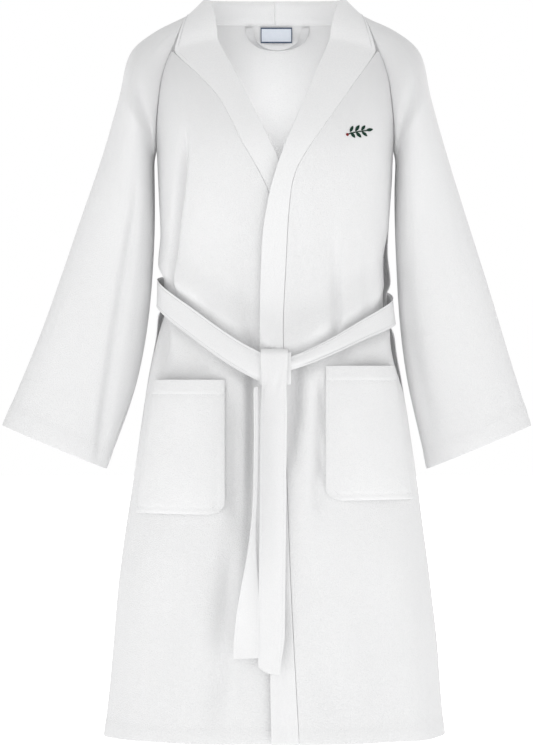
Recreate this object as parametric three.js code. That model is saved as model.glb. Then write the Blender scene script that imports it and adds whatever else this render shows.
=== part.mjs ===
// Wrap bathrobe: raglan sleeves, banded fronts, tied belt, patch pockets, hanging loop.
// Millimetres, +Z up, wearer's left at +X, front towards -Y. "Drop" is the distance below
// the back neck seam, whose middle is the origin: the robe hangs from there.
import * as THREE from "three";

// Cloth and sewing
const cloth = 3; // one layer of pile cloth
const doubleCloth = 5; // band and belt, two layers
const seamGap = 0.35; // each piece stops this short of its seam line
const layerGap = 0.5; // air between layers that lie on each other
const beltStand = 2.6; // air between the robe and its belt and belt loops

// Heights below the back neck seam
const frontNeckDrop = 56; // top of the front raglan seam
const crossDrop = 231; // the fronts cross
const armpitDrop = 214;
const waistDrop = 439;
const hipDrop = 574;
const robeLength = 1112;

// Body sections: half widths and half depths
const neckWidth = 178;
const yokeWidth = 196;
const chestWidth = 183.5;
const waistWidth = 176;
const hipWidth = 198;
const hemWidth = 264;
const neckDepth = 55;
const yokeDepth = 102;
const chestDepth = 122;
const waistDepth = 112;
const hipDepth = 130;
const hemDepth = 150;
const squareness = 2.4; // 2 is an ellipse, more is boxier

// Shoulder ridge, armhole and sleeve
const ridgeNeck = [139, 6]; // [from the middle, height]
const ridgeYoke = [190, -22];
const shoulderTip = [225, -55];
const armholeTop = [242, -124];
const ridgeNeckY = -62;
const ridgeArmY = -105;
const neckReach = 60; // half depth of the raglan cap at the neck
const armReach = 78; // half depth of the armhole
const underarmGap = 4;
const elbowDrop = 364;
const elbowInside = 188.5;
const forearmInside = 206;
const forearmDrop = 548;
const cuffReach = 330; // middle of the cuff from the middle of the robe
const cuffDrop = 669;
const cuffWidth = 174;
const cuffDepth = 30;
const cuffTilt = THREE.MathUtils.degToRad(22.6);
const cuffSwing = 13; // the right sleeve hangs this much further out, the left one further in

// Band and lap
const collarRise = 37; // height of the band above the back neck seam
const collarLean = 10; // its top edge leans this far towards the neck
const bandWidth = 41;
const overLap = 23; // the left front passes the middle by this much at the waist
const underLap = 46;
const crossShift = 6; // the fronts cross this far to the wearer's left
const lapDepth = 9.5; // the right front lies this far inside the left one

// Pockets
const pocketHeight = 203;
const pocketInside = 75; // inner edge from the middle
const pocketSide = 0.43; // outer edge, in radians short of the side seam
const pocketBelly = 18;
const leftPocketDrop = 543;
const rightPocketDrop = 564;

// Belt
const beltWidth = 40;
const beltBackDrop = 419;
const beltSideDrop = { left: 456, right: 428 };
const beltFrontDrop = { left: 542, right: 549 };
const knotHalf = 25;
const knotTop = 517;
const knotHeight = 57;
const knotDepth = 16;
const frontTail = 430; // length below the knot
const rearTail = 406;
const tailCentre = -4.5;
const rearTailTop = -31;
const rearTailEnd = -45;
const tailStand = 4; // air between the tails and the skirt
const loopWidth = 12;
const loopCloth = 2;
const loopAngle = 1.12; // belt loops, in radians round from the centre back

// Neck trim and chest emblem
const hangerHalf = 44.5;
const hangerDepth = 38;
const hangerStand = 8; // how far the loop stands off its seam
const trimMiddle = 4;
const trimTop = 5;
const trimY = -5; // middle of the hanging loop's sewn ends
const labelSize = { width: 50, height: 25, thickness: 1 };
const emblem = { across: 128, drop: 187, width: 40, height: 18, thickness: 0.8 };

const white = { color: 0xf1f1f0, roughness: 0.95, metalness: 0 };
const labelBlue = { color: 0xdfe6ee, roughness: 0.8, metalness: 0 };
const threadGreen = { color: 0x16382a, roughness: 0.7, metalness: 0 };

const robe = new THREE.Group();
const { lerp, clamp, smoothstep } = THREE.MathUtils;

// Smooth curve through [position, value] stations in rising order, flat past its ends.
function through(...stations) {
  const last = stations.length - 1;
  const slope = (k) => {
    const before = stations[Math.max(k - 1, 0)];
    const after = stations[Math.min(k + 1, last)];
    return (after[1] - before[1]) / (after[0] - before[0]);
  };
  return (position) => {
    const at = clamp(position, stations[0][0], stations[last][0]);
    let k = 0;
    while (k < last - 1 && at > stations[k + 1][0]) k += 1;
    const [start, from] = stations[k];
    const [end, to] = stations[k + 1];
    const span = end - start;
    const t = (at - start) / span;
    const ease = t * t * (3 - 2 * t);
    const leave = slope(k) * span * t * (1 - t) * (1 - t);
    const arrive = slope(k + 1) * span * t * t * (t - 1);
    return lerp(from, to, ease) + leave + arrive;
  };
}

const skirtDrop = (hipDrop + robeLength) / 2;
const halfWidth = through(
  [0, neckWidth],
  [armpitDrop / 2, yokeWidth],
  [armpitDrop, chestWidth],
  [waistDrop, waistWidth],
  [hipDrop, hipWidth],
  [skirtDrop, lerp(hipWidth, hemWidth, 0.6)],
  [robeLength, hemWidth],
);
const halfDepth = through(
  [0, neckDepth],
  [armpitDrop / 2, yokeDepth],
  [armpitDrop, chestDepth],
  [waistDrop, waistDepth],
  [hipDrop, hipDepth],
  [robeLength, hemDepth],
);
const middleY = through(
  [0, -neckDepth],
  [armpitDrop / 2, -85],
  [armpitDrop, ridgeArmY],
  [waistDrop, -110],
  [robeLength, -110],
);

// A point on the body's outer surface: angle 0 is the centre back, pi the centre front,
// and outset moves it along the level normal.
function bodyPoint(angle, drop, outset = 0) {
  const wide = halfWidth(drop);
  const deep = halfDepth(drop);
  const side = Math.sign(Math.sin(angle));
  const end = Math.sign(Math.cos(angle));
  const across = Math.abs(Math.sin(angle)) ** (2 / squareness);
  const along = Math.abs(Math.cos(angle)) ** (2 / squareness);
  const normal = new THREE.Vector3(
    (side * across ** (squareness - 1)) / wide,
    (end * along ** (squareness - 1)) / deep,
    0,
  ).normalize();
  const point = new THREE.Vector3(side * across * wide, middleY(drop) + end * along * deep, -drop);
  return point.addScaledVector(normal, outset);
}

// The angle at which the front, or the back, passes a given distance from the middle.
function angleAt(across, drop, front = true) {
  const share = clamp(Math.abs(across) / halfWidth(drop), 0, 1) ** (squareness / 2);
  const angle = front ? Math.PI - Math.asin(share) : Math.asin(share);
  return across < 0 ? -angle : angle;
}

function steps(count, make) {
  return Array.from({ length: count + 1 }, (_, k) => make(k / count));
}

function addPiece(name, corners, faces, look) {
  const geometry = new THREE.BufferGeometry();
  let volume = 0;
  for (let k = 0; k < faces.length; k += 3) {
    const [a, b, c] = [corners[faces[k]], corners[faces[k + 1]], corners[faces[k + 2]]];
    volume += a.dot(new THREE.Vector3().crossVectors(b, c));
  }
  geometry.setAttribute("position", new THREE.Float32BufferAttribute(corners.flatMap((p) => p.toArray()), 3));
  geometry.setIndex(volume > 0 ? faces : [...faces].reverse());
  geometry.computeVertexNormals();
  const mesh = new THREE.Mesh(geometry, new THREE.MeshStandardMaterial(look));
  mesh.name = name;
  robe.add(mesh);
}

// Moves a sheet's border in by the seam gap; closed sheets have no side borders.
function trimBorder(rows, closed) {
  const pull = (edge, next) => {
    const way = new THREE.Vector3().subVectors(next, edge);
    return edge.clone().addScaledVector(way.normalize(), seamGap);
  };
  const last = rows.length - 1;
  const trimmed = rows.map((row) => {
    const end = row.length - 1;
    if (closed) return row.map((p) => p.clone());
    return row.map((p, k) => (k === 0 ? pull(p, row[1]) : k === end ? pull(p, row[end - 1]) : p.clone()));
  });
  const first = trimmed[0].map((p, k) => pull(p, trimmed[1][k]));
  const final = trimmed[last].map((p, k) => pull(p, trimmed[last - 1][k]));
  return [first, ...trimmed.slice(1, last), final];
}

// A sheet of cloth: rows of points on its outer face, thickened towards the inside point.
// Ends given a plane normal are cut along that plane.
function addSheet(name, outline, { thickness = cloth, inside, closed = false, firstPlane, lastPlane, look = white }) {
  const rows = trimBorder(outline, closed);
  const height = rows.length;
  const width = rows[0].length;
  const wrap = (k) => (closed ? (k + width) % width : clamp(k, 0, width - 1));
  const normalAt = (r, k) => {
    const along = new THREE.Vector3().subVectors(rows[Math.min(r + 1, height - 1)][k], rows[Math.max(r - 1, 0)][k]);
    const across = new THREE.Vector3().subVectors(rows[r][wrap(k + 1)], rows[r][wrap(k - 1)]);
    return along.cross(across).normalize();
  };
  const middle = [Math.floor(height / 2), Math.floor(width / 2)];
  const inward = new THREE.Vector3().subVectors(inside, rows[middle[0]][middle[1]]);
  const sign = Math.sign(normalAt(...middle).dot(inward));
  const cutPlane = (r) => (r === 0 ? firstPlane : r === height - 1 ? lastPlane : undefined);
  const inner = rows.map((row, r) => row.map((p, k) => {
    const shift = normalAt(r, k).multiplyScalar(sign * thickness);
    return p.clone().add(cutPlane(r) ? shift.projectOnPlane(cutPlane(r)) : shift);
  }));
  const corners = [...rows.flat(), ...inner.flat()];
  const behind = height * width;
  const at = (r, k) => r * width + wrap(k);
  const faces = [];
  const quad = (a, b, c, d) => faces.push(a, b, c, a, c, d);
  const spans = closed ? width : width - 1;
  for (let r = 0; r < height - 1; r += 1) {
    for (let k = 0; k < spans; k += 1) {
      quad(at(r, k), at(r, k + 1), at(r + 1, k + 1), at(r + 1, k));
      quad(behind + at(r, k), behind + at(r + 1, k), behind + at(r + 1, k + 1), behind + at(r, k + 1));
    }
    if (closed) continue;
    quad(at(r, 0), at(r + 1, 0), behind + at(r + 1, 0), behind + at(r, 0));
    quad(at(r + 1, spans), at(r, spans), behind + at(r, spans), behind + at(r + 1, spans));
  }
  for (let k = 0; k < spans; k += 1) {
    quad(at(0, k + 1), at(0, k), behind + at(0, k), behind + at(0, k + 1));
    quad(at(height - 1, k), at(height - 1, k + 1), behind + at(height - 1, k + 1), behind + at(height - 1, k));
  }
  addPiece(name, corners, faces, look);
}

// A strap: stations of middle point, width direction and face direction, lofted with flat ends.
function addStrap(name, stations, width, thickness, look = white) {
  const ring = ({ middle, across, out }) => [[-1, -1], [1, -1], [1, 1], [-1, 1]].map(([a, b]) => middle.clone()
    .addScaledVector(across, (a * width) / 2)
    .addScaledVector(out, (b * thickness) / 2));
  const corners = stations.flatMap(ring);
  const faces = [];
  const last = (stations.length - 1) * 4;
  for (let base = 0; base < last; base += 4) {
    for (let k = 0; k < 4; k += 1) {
      const [a, b] = [base + k, base + ((k + 1) % 4)];
      faces.push(a, b, b + 4, a, b + 4, a + 4);
    }
  }
  faces.push(2, 1, 0, 3, 2, 0, last, last + 1, last + 2, last, last + 2, last + 3);
  addPiece(name, corners, faces, look);
}

// Raglan cap: v runs from the neck to the armhole, turn from the front seam (-1) over the
// shoulder ridge (0) to the back seam (1). Its seams lie on the body's surface.
const ridge = new THREE.CatmullRomCurve3(
  [ridgeNeck, ridgeYoke, shoulderTip, armholeTop].map(([x, z]) => new THREE.Vector3(x, 0, z)),
);
const capDrop = { front: (v) => lerp(frontNeckDrop, armpitDrop, v), back: (v) => armpitDrop * v };
const capReach = {
  front: (v) => lerp(neckReach, armReach, v),
  back: through([0, neckReach - 4], [0.33, neckReach + 14], [1, armReach]),
};
const capTurn = (v) => lerp(Math.PI / 2, Math.PI * 0.96, v ** 1.6);

function raglanSeam(v, half) {
  const drop = capDrop[half](v);
  const toward = half === "front" ? -1 : 1;
  const y = lerp(ridgeNeckY, ridgeArmY, v) + toward * capReach[half](v) * Math.sin(capTurn(v));
  const share = clamp(Math.abs(y - middleY(drop)) / halfDepth(drop), 0, 1);
  const x = halfWidth(drop) * (1 - share ** squareness) ** (1 / squareness);
  return new THREE.Vector3(x, y, -drop);
}

function capPoint(v, turn, side) {
  const half = turn < 0 ? "front" : "back";
  const end = raglanSeam(v, half);
  const top = ridge.getPoint(v);
  const limit = Math.cos(capTurn(v));
  const centre = end.clone().addScaledVector(top, -limit).divideScalar(1 - limit);
  const angle = Math.abs(turn) * capTurn(v);
  const point = top.sub(centre).multiplyScalar(Math.cos(angle)).add(centre);
  point.y = lerp(ridgeNeckY, ridgeArmY, v) + Math.sign(turn) * capReach[half](v) * Math.sin(angle);
  point.x *= side;
  return point;
}

// Seam and free edge of each front's band, as [drop, distance to that wearer's side].
const neckCorner = raglanSeam(0, "front").x - 3;
const edgeTopDrop = frontNeckDrop - bandWidth * 0.44;
const seamLine = {
  left: through(
    [frontNeckDrop, neckCorner],
    [lerp(frontNeckDrop, crossDrop, 0.5), lerp(neckCorner, bandWidth - 2, 0.5)],
    [crossDrop + 5, bandWidth - 4],
    [crossDrop + 47, 24],
    [crossDrop + 174, 15.5],
    [waistDrop + 64, 12],
    [skirtDrop, 22],
    [robeLength, 36],
  ),
  right: through(
    [frontNeckDrop, neckCorner],
    [lerp(frontNeckDrop, crossDrop, 0.42), 89],
    [lerp(frontNeckDrop, crossDrop, 0.83), 52],
    [crossDrop + 36, 15],
    [crossDrop + 91, -2],
    [waistDrop, -5],
    [robeLength, -20],
  ),
};
const edgeLine = {
  left: through(
    [edgeTopDrop, 84],
    [(edgeTopDrop + crossDrop) / 2, 45],
    [crossDrop, crossShift],
    [crossDrop + 57, -10],
    [crossDrop + 124, 3 - overLap],
    [waistDrop + 87, -overLap],
    [skirtDrop, -11],
    [robeLength, -6],
  ),
  right: through(
    [edgeTopDrop, 88],
    [(edgeTopDrop + crossDrop) / 2, 41],
    [crossDrop, -crossShift],
    [crossDrop + 81, 6 - underLap],
    [crossDrop + 150, -underLap],
    [robeLength, -underLap - 14],
  ),
};

// Point on a front at a distance to its own side; the right front dips under the left one.
function frontPoint(name, across, drop) {
  const side = name === "left" ? 1 : -1;
  const dip = name === "right" ? -lapDepth * (1 - smoothstep(across, 25, 95)) : 0;
  return bodyPoint(angleAt(side * across, drop), drop, dip);
}

const capRows = 6;
const capColumns = 7; // from each raglan seam to the ridge
const bodyRows = 17;
const backColumns = 16;
const frontColumns = 8;
const lowerDrops = steps(bodyRows, (t) => lerp(robeLength, armpitDrop, t)).slice(0, -1);
const capSteps = steps(capRows, (t) => 1 - t);
const axisPoint = new THREE.Vector3(0, middleY(waistDrop), -skirtDrop);

// Back panel, side seam to side seam and up between the back raglan seams
const backHalf = [
  ...lowerDrops.map((drop) => ({ drop, edge: Math.PI / 2 })),
  ...capSteps.map((v) => {
    const drop = capDrop.back(v);
    return { drop, edge: angleAt(raglanSeam(v, "back").x, drop, false) };
  }),
];
const backRows = backHalf.map(({ drop, edge }) => steps(backColumns, (t) => bodyPoint(lerp(-edge, edge, t), drop)));
addSheet("back_panel", backRows, { inside: axisPoint });

for (const [name, side] of [["left", 1], ["right", -1]]) {
  // Front panel, from the band seam to the side seam and the front raglan seam
  const frontHalf = [
    ...lowerDrops.map((drop) => ({ drop, edge: Math.PI / 2 })),
    ...capSteps.map((v) => {
      const drop = capDrop.front(v);
      return { drop, edge: angleAt(raglanSeam(v, "front").x, drop) };
    }),
  ];
  const frontRows = frontHalf.map(({ drop, edge }) => {
    const seam = angleAt(seamLine[name](drop), drop);
    const signedSeam = seamLine[name](drop) < 0 ? 2 * Math.PI + seam : seam;
    return steps(frontColumns, (t) => {
      const angle = lerp(signedSeam, edge, t);
      const across = bodyPoint(angle, drop).x;
      return frontPoint(name, across, drop);
    });
  });
  addSheet(`front_panel_${name}`, frontRows, { inside: axisPoint });

  // Raglan cap, fixed to the body
  const armPlane = new THREE.Vector3(armholeTop[1] + armpitDrop, 0, chestWidth - armholeTop[0]);
  armPlane.x *= side;
  armPlane.normalize();
  const across = steps(2 * capColumns, (t) => 2 * t - 1);
  const capOutline = steps(capRows, (t) => t).map((v) => across.map((turn) => capPoint(v, turn, side)));
  const armMiddle = capPoint(1, -1, side).add(capPoint(1, 0, side)).multiplyScalar(0.5);
  addSheet(`raglan_cap_${name}`, capOutline, {
    inside: new THREE.Vector3(side * 150, ridgeArmY, -armpitDrop * 0.6),
    lastPlane: armPlane,
  });

  // Sleeve, a tube from the armhole to the cuff
  const swing = name === "left" ? -cuffSwing : cuffSwing;
  const top = ridge.getPoint(1);
  const bottom = raglanSeam(1, "front");
  const half = new THREE.Vector3(Math.cos(cuffTilt), 0, Math.sin(cuffTilt)).multiplyScalar(cuffWidth / 2);
  const cuff = new THREE.Vector3(cuffReach, 0, -cuffDrop);
  const outside = new THREE.CatmullRomCurve3([
    top,
    new THREE.Vector3(lerp(top.x, cuffReach + half.x, 0.25) - 5, 0, lerp(top.z, half.z - cuffDrop, 0.25)),
    new THREE.Vector3(lerp(top.x, cuffReach + half.x, 0.6) - 4, 0, lerp(top.z, half.z - cuffDrop, 0.6)),
    cuff.clone().add(half),
  ]);
  const insideLine = new THREE.CatmullRomCurve3([
    new THREE.Vector3(bottom.x + underarmGap, 0, bottom.z),
    new THREE.Vector3(elbowInside, 0, -elbowDrop),
    new THREE.Vector3(forearmInside, 0, -forearmDrop),
    cuff.clone().sub(half),
  ]);
  const sleeveRows = steps(11, (s) => {
    const outer = outside.getPoint(s);
    const inner = insideLine.getPoint(s);
    const centre = outer.clone().add(inner).multiplyScalar(0.5);
    const reach = outer.clone().sub(inner).multiplyScalar(0.5);
    const deep = lerp(armReach, cuffDepth, smoothstep(s, -0.3, 1.15));
    return steps(20, (t) => {
      const angle = 2 * Math.PI * t;
      const point = centre.clone().addScaledVector(reach, Math.cos(angle));
      point.x = side * (point.x + swing * s ** 3);
      point.y = ridgeArmY + deep * Math.sin(angle);
      return point;
    }).slice(0, -1);
  });
  const sleeveInside = sleeveRows[5].reduce((sum, p) => sum.add(p), new THREE.Vector3()).divideScalar(20);
  addSheet(`sleeve_${name}`, sleeveRows, { inside: sleeveInside, closed: true, firstPlane: armPlane });

  // Band, from the hem up the front edge, round the neck to the centre back
  const bandRows = [];
  const addBandRow = (seam, edge) => bandRows.push(steps(2, (t) => seam.clone().lerp(edge, t)));
  for (const { drop } of frontHalf) {
    const lift = (frontNeckDrop - edgeTopDrop) * smoothstep(-drop, -crossDrop - 90, -frontNeckDrop);
    const seam = [seamLine[name](drop), drop];
    const edge = [edgeLine[name](drop - lift), drop - lift];
    bandRows.push(steps(2, (t) => frontPoint(name, lerp(seam[0], edge[0], t), lerp(seam[1], edge[1], t))));
  }
  const frontWay = bandRows.at(-1)[2].clone().sub(bandRows.at(-1)[0]);
  const sideWay = new THREE.Vector3(-0.72 * side, 0, 0.69).multiplyScalar(bandWidth);
  const backWay = new THREE.Vector3(0, -collarLean, collarRise);
  const cornerWay = backWay.clone().add(new THREE.Vector3(-side * 12, 2, 0));
  for (const turn of across.slice(1)) {
    const seam = capPoint(0, turn, side);
    const way = turn < 0 ? frontWay.clone().lerp(sideWay, 1 + turn) : sideWay.clone().lerp(cornerWay, turn);
    addBandRow(seam, seam.clone().add(way));
  }
  const neckRow = backRows.at(-1).slice(backColumns / 2);
  for (const point of neckRow.slice(0, -1).reverse()) {
    const share = point.x / neckRow.at(-1).x;
    const seam = new THREE.Vector3(side * point.x, point.y, point.z);
    addBandRow(seam, seam.clone().add(backWay.clone().lerp(cornerWay, share ** 2)));
  }
  const neckInside = new THREE.Vector3(0, ridgeNeckY, -crossDrop);
  addSheet(`front_band_${name}`, bandRows, { thickness: doubleCloth, inside: neckInside });

  // Patch pocket, open at the top, bellied away from the front
  const pocketTop = name === "left" ? leftPocketDrop : rightPocketDrop;
  const pocketRows = steps(7, (v) => {
    const drop = pocketTop + v * pocketHeight;
    const from = angleAt(pocketInside, drop);
    return steps(8, (u) => {
      const belly = pocketBelly * Math.sin(Math.PI * u) ** 0.7 * Math.cos((Math.PI * v) / 2) ** 0.6;
      const angle = lerp(from, Math.PI / 2 + pocketSide, u);
      return bodyPoint(side * angle, drop, layerGap + cloth + belly);
    });
  });
  addSheet(`pocket_${name}`, pocketRows, { inside: axisPoint });
}

// Belt round the waist, from one side of the knot round the back to the other
const beltLine = {};
const beltHalf = {};
for (const [name, frontHeight] of [["left", 19], ["right", 44]]) {
  beltLine[name] = through(
    [0, beltBackDrop],
    [Math.PI / 2, beltSideDrop[name]],
    [Math.PI * 0.75, lerp(beltSideDrop[name], beltFrontDrop[name], 0.34)],
    [Math.PI, beltFrontDrop[name] + 4],
  );
  beltHalf[name] = through(
    [0, beltWidth / 2],
    [Math.PI / 2, beltWidth / 2],
    [Math.PI, frontHeight / 2],
  );
}
const beltEnd = {
  left: angleAt(knotHalf + layerGap, beltFrontDrop.left),
  right: angleAt(knotHalf + layerGap, beltFrontDrop.right),
};
const beltRows = steps(44, (t) => {
  const angle = lerp(-beltEnd.right, beltEnd.left, t);
  const name = angle < 0 ? "right" : "left";
  const drop = beltLine[name](Math.abs(angle));
  const reach = beltHalf[name](Math.abs(angle));
  return steps(2, (u) => bodyPoint(angle, drop + reach * (1 - 2 * u), beltStand + doubleCloth));
});
addSheet("belt_waist", beltRows, { thickness: doubleCloth, inside: new THREE.Vector3(0, -110, -waistDrop) });

const knotRows = steps(5, (v) => steps(5, (u) => {
  const drop = knotTop + v * knotHeight;
  return bodyPoint(angleAt(lerp(-knotHalf, knotHalf, u), drop), drop, layerGap + knotDepth);
}));
addSheet("belt_knot", knotRows, { thickness: knotDepth, inside: axisPoint });

// Tails of the belt: the front one hangs flat, the rear one turns from edge-on to nearly flat
const tailTop = knotTop + knotHeight + layerGap;
const forward = new THREE.Vector3(0, -1, 0);
const sideways = new THREE.Vector3(1, 0, 0);
const skirtFront = (drop) => bodyPoint(Math.PI, drop).y;
addStrap("belt_tail_front", steps(10, (t) => {
  const drop = tailTop + t * frontTail;
  const stand = tailStand + doubleCloth / 2 + (1 - t) * 5;
  return { middle: new THREE.Vector3(tailCentre, skirtFront(drop) - stand, -drop), across: sideways, out: forward };
}), beltWidth, doubleCloth);
addStrap("belt_tail_rear", steps(14, (t) => {
  const drop = tailTop + t * rearTail;
  const turn = lerp(1.45, 0.35, smoothstep(t, 0.45, 1));
  const across = sideways.clone().multiplyScalar(Math.cos(turn)).addScaledVector(forward, -Math.sin(turn));
  const out = forward.clone().multiplyScalar(Math.cos(turn)).addScaledVector(sideways, Math.sin(turn));
  const stand = tailStand + (beltWidth / 2) * Math.sin(turn) + doubleCloth / 2;
  const x = lerp(rearTailTop, rearTailEnd, smoothstep(t, 0.35, 1));
  return { middle: new THREE.Vector3(x, skirtFront(drop) - stand, -drop), across, out };
}), beltWidth, doubleCloth);

// Belt loops just behind the side seams
for (const [name, side] of [["left", 1], ["right", -1]]) {
  const centre = beltLine[name](loopAngle);
  const low = 1 + loopCloth / 2;
  const high = beltStand + doubleCloth + layerGap + loopCloth / 2;
  const foot = beltWidth / 2 + 16;
  const stations = [[-foot, low], [-foot + 9, low], [-foot + 13, high], [foot - 13, high], [foot - 9, low], [foot, low]];
  const facing = bodyPoint(side * loopAngle, centre, 1).sub(bodyPoint(side * loopAngle, centre)).normalize();
  const across = new THREE.Vector3(-facing.y, facing.x, 0);
  addStrap(`belt_loop_${name}`, stations.map(([along, outset]) => (
    { middle: bodyPoint(side * loopAngle, centre + along, outset), across, out: facing }
  )), loopWidth, loopCloth);
}

// Hanging loop inside the back neck: flat at its sewn ends, edge-on at the bottom
addStrap("hanging_loop", steps(20, (t) => {
  const angle = Math.PI * t;
  const middle = new THREE.Vector3(
    trimMiddle - hangerHalf * Math.cos(angle),
    trimY - hangerStand * Math.sin(angle),
    -trimTop - hangerDepth * Math.sin(angle) ** 0.8,
  );
  const level = new THREE.Vector3(-Math.cos(angle), 0, -Math.sin(angle));
  const lay = Math.sin(angle) * 1.35;
  const across = level.clone().multiplyScalar(Math.cos(lay)).addScaledVector(forward, Math.sin(lay));
  const out = forward.clone().multiplyScalar(Math.cos(lay)).addScaledVector(level, -Math.sin(lay));
  return { middle, across, out };
}), loopWidth, loopCloth);

const labelY = trimY + labelSize.thickness;
const labelDrops = [trimTop - 1, trimTop - 1 + labelSize.height];
addStrap("neck_label", labelDrops.map((drop) => (
  { middle: new THREE.Vector3(trimMiddle - 1.5, labelY, -drop), across: sideways, out: forward }
)), labelSize.width, labelSize.thickness, labelBlue);

// Leaf-shaped emblem on the left chest
addSheet("chest_emblem", steps(8, (u) => {
  const across = emblem.across + (u - 0.5) * emblem.width;
  const reach = (emblem.height / 2) * (0.08 + 0.92 * Math.sin(Math.PI * u) ** 0.75);
  return steps(2, (v) => {
    const drop = emblem.drop + reach * (1 - 2 * v);
    return bodyPoint(angleAt(across, drop), drop, layerGap + emblem.thickness);
  });
}), { thickness: emblem.thickness, inside: axisPoint, look: threadGreen });

export default robe;
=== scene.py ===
import math

import bmesh
import bpy
from mathutils import Matrix, Vector, noise


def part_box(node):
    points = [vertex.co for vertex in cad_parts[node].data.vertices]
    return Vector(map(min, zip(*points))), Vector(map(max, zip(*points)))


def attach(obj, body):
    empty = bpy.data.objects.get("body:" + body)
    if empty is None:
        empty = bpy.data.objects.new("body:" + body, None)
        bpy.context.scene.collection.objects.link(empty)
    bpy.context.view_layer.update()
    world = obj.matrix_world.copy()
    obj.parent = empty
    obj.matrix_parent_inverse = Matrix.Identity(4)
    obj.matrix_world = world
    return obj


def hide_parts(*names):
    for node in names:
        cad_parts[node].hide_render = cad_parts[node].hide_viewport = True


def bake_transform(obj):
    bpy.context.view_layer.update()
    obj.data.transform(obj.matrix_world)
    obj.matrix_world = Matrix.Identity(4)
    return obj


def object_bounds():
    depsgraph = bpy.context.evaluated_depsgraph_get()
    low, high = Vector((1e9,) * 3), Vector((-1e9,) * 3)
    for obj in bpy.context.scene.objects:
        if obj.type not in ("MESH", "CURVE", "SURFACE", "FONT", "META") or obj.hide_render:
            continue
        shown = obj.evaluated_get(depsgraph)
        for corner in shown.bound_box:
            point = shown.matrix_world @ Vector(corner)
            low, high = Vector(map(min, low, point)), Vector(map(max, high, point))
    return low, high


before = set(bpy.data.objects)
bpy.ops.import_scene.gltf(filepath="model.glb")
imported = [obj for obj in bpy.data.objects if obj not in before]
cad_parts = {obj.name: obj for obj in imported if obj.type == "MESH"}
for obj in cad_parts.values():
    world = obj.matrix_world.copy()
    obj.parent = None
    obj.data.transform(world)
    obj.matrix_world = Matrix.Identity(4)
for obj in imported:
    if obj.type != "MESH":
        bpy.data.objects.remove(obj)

cadLow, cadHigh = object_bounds()
scene = bpy.context.scene
scene.view_settings.view_transform = "Standard"
toMetres = 0.001  # shapes below are worked out in millimetres


# Small helpers for curves and blends
def lerp(a, b, t):
    return a + (b - a) * t


def clamp(value, low=0.0, high=1.0):
    return max(low, min(high, value))


def ease(value, start, end):
    t = clamp((value - start) / (end - start))
    return t * t * (3 - 2 * t)


def hump(distance, width):
    return math.exp(-(distance / width) ** 2)


def through(*stations):
    last = len(stations) - 1

    def slope(k):
        before, after = stations[max(k - 1, 0)], stations[min(k + 1, last)]
        return (after[1] - before[1]) / (after[0] - before[0])

    slopes = [slope(k) for k in range(last + 1)]

    def value(position):
        at = clamp(position, stations[0][0], stations[last][0])
        k = 0
        while k < last - 1 and at > stations[k + 1][0]:
            k += 1
        (start, begin), (end, to) = stations[k], stations[k + 1]
        span = end - start
        t = (at - start) / span
        return (lerp(begin, to, t * t * (3 - 2 * t)) + slopes[k] * span * t * (1 - t) ** 2
                + slopes[k + 1] * span * t * t * (t - 1))
    return value


def boxOf(node):
    low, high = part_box(node)
    return low / toMetres, high / toMetres


# Camera, light and floor
view = {"across": -13.2, "height": -554.0, "distance": 4200.0, "planeY": -110.0, "lens": 130.5}
cameraData = bpy.data.cameras.new("viewCamera")
cameraData.lens = view["lens"]
cameraData.sensor_width = 36
camera = bpy.data.objects.new("viewCamera", cameraData)
scene.collection.objects.link(camera)
camera.location = Vector((view["across"], view["planeY"] - view["distance"], view["height"])) * toMetres
camera.rotation_euler = (math.pi / 2, 0, 0)
scene.camera = camera

studio = {"world": 0.7, "backdrop": 1.0, "floorGap": 0.14, "floorSize": 14.0, "floorGlow": 0.8,
          "key": {"energy": 9, "size": 1.6, "place": (-0.5, -4.7, -0.1)},
          "left": {"energy": 8, "size": 2.4, "place": (-2.9, -3.6, 0.5)},
          "right": {"energy": 5, "size": 2.4, "place": (2.9, -3.6, 0.3)},
          "top": {"energy": 12, "size": 2.4, "place": (0.4, 0.6, 2.6)},
          "behind": {"energy": 6, "size": 3.0, "place": (0.6, 4.4, 0.6)}}
world = bpy.data.worlds.new("whiteStudio")
scene.world = world
world.use_nodes = True
sky = world.node_tree
soft = sky.nodes["Background"]
soft.inputs["Color"].default_value = (1, 1, 1, 1)
soft.inputs["Strength"].default_value = studio["world"]
white = sky.nodes.new("ShaderNodeBackground")
white.inputs["Strength"].default_value = studio["backdrop"]
white.inputs["Color"].default_value = (1, 1, 1, 1)
seen = sky.nodes.new("ShaderNodeLightPath")
either = sky.nodes.new("ShaderNodeMixShader")
sky.links.new(seen.outputs["Is Camera Ray"], either.inputs[0])
sky.links.new(soft.outputs[0], either.inputs[1])
sky.links.new(white.outputs[0], either.inputs[2])
sky.links.new(either.outputs[0], sky.nodes["World Output"].inputs["Surface"])
aimPoint = Vector((0, -0.11, -0.5))


def hangLamp(name, facts, aim):
    lampData = bpy.data.lights.new(name, "AREA")
    lampData.energy = facts["energy"]
    lampData.size = facts["size"]
    lamp = bpy.data.objects.new(name, lampData)
    lamp.location = facts["place"]
    lamp.rotation_euler = (aim - lamp.location).to_track_quat("-Z", "Y").to_euler()
    scene.collection.objects.link(lamp)
    return lamp


for lampName in ("key", "left", "right", "top", "behind"):
    hangLamp(lampName + "Light", studio[lampName], aimPoint)
# a small lamp inside the robe lights the inside of its back
innerLight = {"energy": 0.13, "size": 0.12, "place": (0, -0.13, -0.2), "aim": (0, 0, -0.07), "spread": 2.0}
innerLamp = hangLamp("innerLight", innerLight, Vector(innerLight["aim"]))
innerLamp.data.spread = innerLight["spread"]
innerLamp.visible_camera = False


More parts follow.
